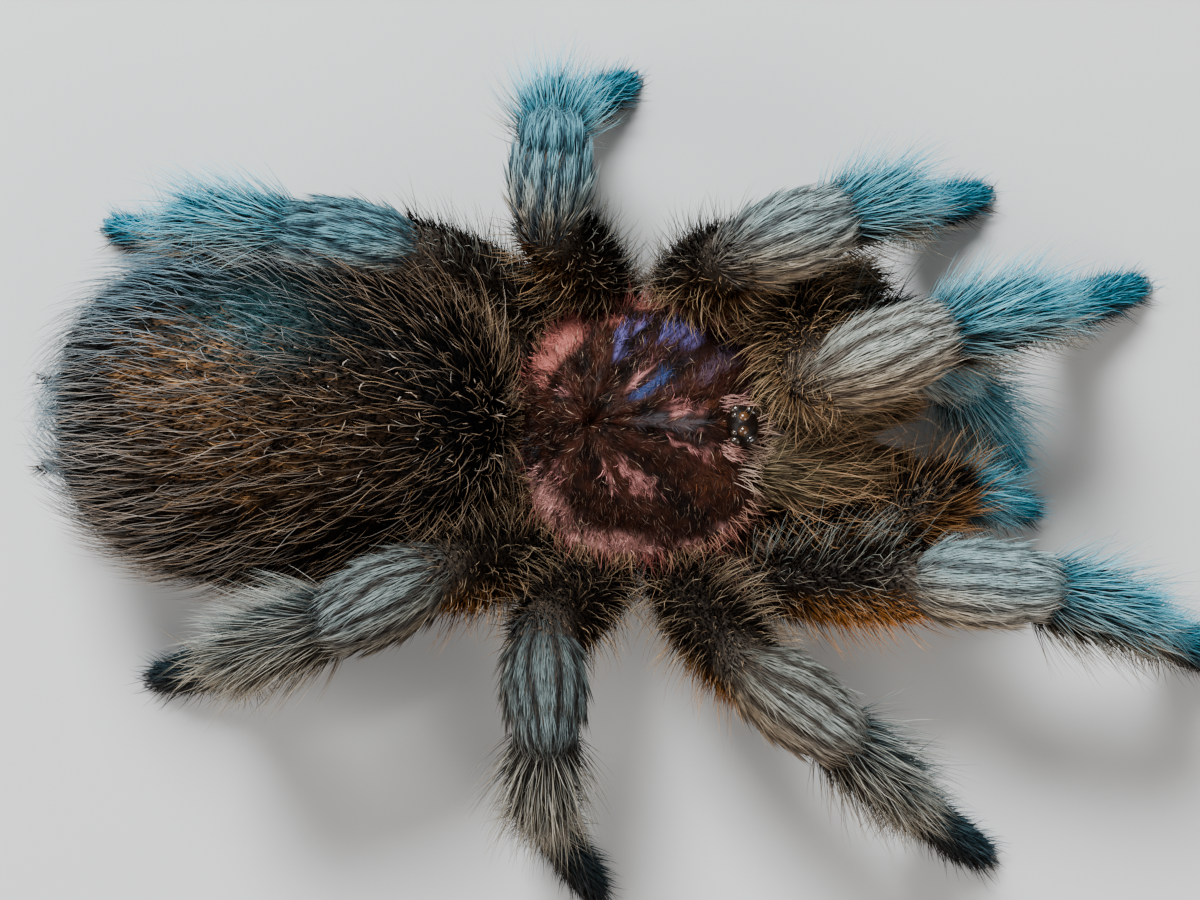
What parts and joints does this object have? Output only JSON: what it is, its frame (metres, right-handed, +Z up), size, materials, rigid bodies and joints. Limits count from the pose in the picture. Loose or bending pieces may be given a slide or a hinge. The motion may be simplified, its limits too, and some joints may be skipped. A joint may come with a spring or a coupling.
{
  "type": "tarantula model",
  "caption": "Life-size still model of a standing tarantula: hairy egg-shaped abdomen, domed carapace, jaws, palps and arched legs.",
  "frame": {"origin": "centre of the whole animal's footprint, on the level surface that it stands on", "axes": "+X towards the head, +Y to the animal's left, +Z up"},
  "size_m": [0.1076, 0.0738, 0.0277],
  "materials": {
    "leg_coat": "bristly hair, pale with dark stripes on knee and shin, near black on the thigh",
    "abdomen_coat": "dense dark brown hair with long pale tips and a golden-brown patch",
    "jaw_coat": "short sleek olive-brown hair",
    "carapace": "dark red-brown plate under short rose and violet hair",
    "skin": "matt brown hide",
    "eyes": "wet black gloss",
    "fang": "polished black horn"
  },
  "bodies": {
    "root": {"abdomen": "abdomen_coat", "carapace": "carapace", "chelicera_left": "jaw_coat", "chelicera_right": "jaw_coat", "eyes": "eyes", "fang_left": "fang", "fang_right": "fang", "leg_left_1_femur": "leg_coat", "leg_left_1_metatarsus": "leg_coat", "leg_left_1_patella": "leg_coat", "leg_left_1_tarsus": "leg_coat", "leg_left_1_tibia": "leg_coat", "leg_left_2_femur": "leg_coat", "leg_left_2_metatarsus": "leg_coat", "leg_left_2_patella": "leg_coat", "leg_left_2_tarsus": "leg_coat", "leg_left_2_tibia": "leg_coat", "leg_left_3_femur": "leg_coat", "leg_left_3_metatarsus": "leg_coat", "leg_left_3_patella": "leg_coat", "leg_left_3_tarsus": "leg_coat", "leg_left_3_tibia": "leg_coat", "leg_left_4_femur": "leg_coat", "leg_left_4_metatarsus": "leg_coat", "leg_left_4_patella": "leg_coat", "leg_left_4_tarsus": "leg_coat", "leg_left_4_tibia": "leg_coat", "leg_right_1_femur": "leg_coat", "leg_right_1_metatarsus": "leg_coat", "leg_right_1_patella": "leg_coat", "leg_right_1_tarsus": "leg_coat", "leg_right_1_tibia": "leg_coat", "leg_right_2_femur": "leg_coat", "leg_right_2_metatarsus": "leg_coat", "leg_right_2_patella": "leg_coat", "leg_right_2_tarsus": "leg_coat", "leg_right_2_tibia": "leg_coat", "leg_right_3_femur": "leg_coat", "leg_right_3_metatarsus": "leg_coat", "leg_right_3_patella": "leg_coat", "leg_right_3_tarsus": "leg_coat", "leg_right_3_tibia": "leg_coat", "leg_right_4_femur": "leg_coat", "leg_right_4_metatarsus": "leg_coat", "leg_right_4_patella": "leg_coat", "leg_right_4_tarsus": "leg_coat", "leg_right_4_tibia": "leg_coat", "palp_left_femur": "leg_coat", "palp_left_patella": "leg_coat", "palp_left_tarsus": "leg_coat", "palp_left_tibia": "leg_coat", "palp_right_femur": "leg_coat", "palp_right_patella": "leg_coat", "palp_right_tarsus": "leg_coat", "palp_right_tibia": "leg_coat", "spinneret_left": "skin", "spinneret_right": "skin", "sternum": "skin"}
  },
  "joints": []
}
